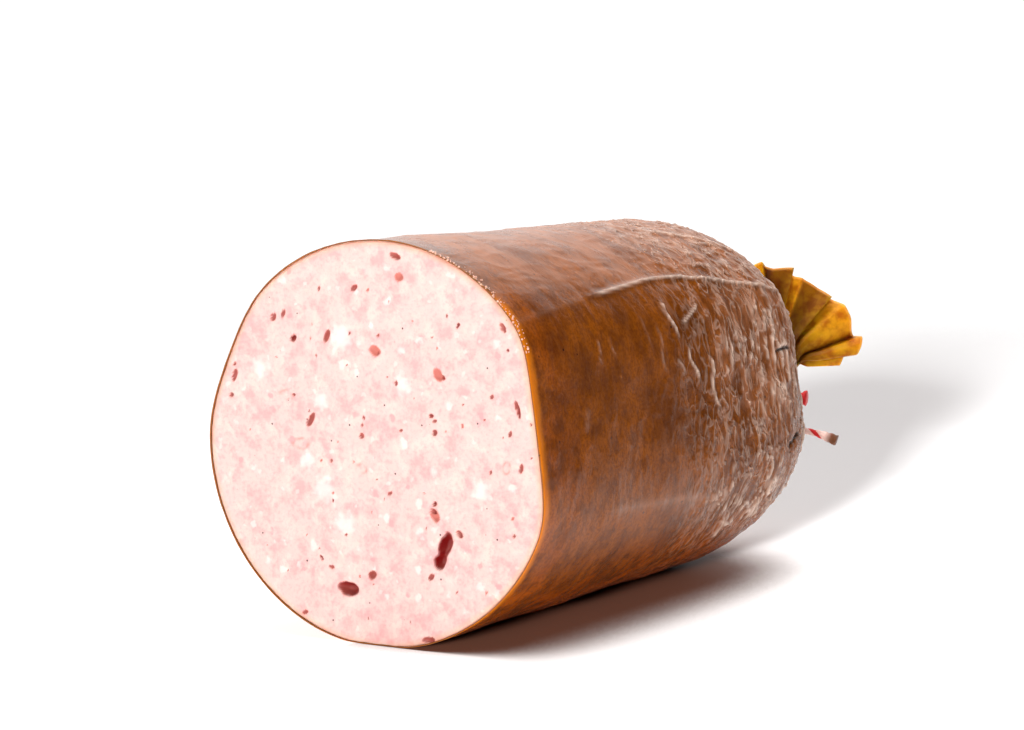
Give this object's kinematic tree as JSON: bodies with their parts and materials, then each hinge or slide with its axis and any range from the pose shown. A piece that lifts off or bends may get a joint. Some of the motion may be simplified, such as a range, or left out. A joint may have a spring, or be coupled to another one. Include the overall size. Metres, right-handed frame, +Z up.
{
  "type": "cured sausage",
  "caption": "Large-calibre cooked and smoked sausage, cut straight across, with a string-tied neck and a pleated casing tail.",
  "frame": {"origin": "middle of the flat strip along the underside that the sausage rests on, halfway along its straight body", "axes": "+Y along the sausage from the cut face towards the tied end, +Z up, +X to the side that the string's ends point to"},
  "size_m": [0.0971, 0.2119, 0.0993],
  "materials": {
    "meat": "moist satin cut surface, pale pink with fat flecks and small pits",
    "casing": "thin smoked skin, glossy brown with fine wrinkles, golden and translucent at the tail",
    "tie_string": "twisted cotton twine, red and white"
  },
  "bodies": {
    "root": {"meat": "meat", "casing": "casing", "tie_string": "tie_string"}
  },
  "joints": []
}
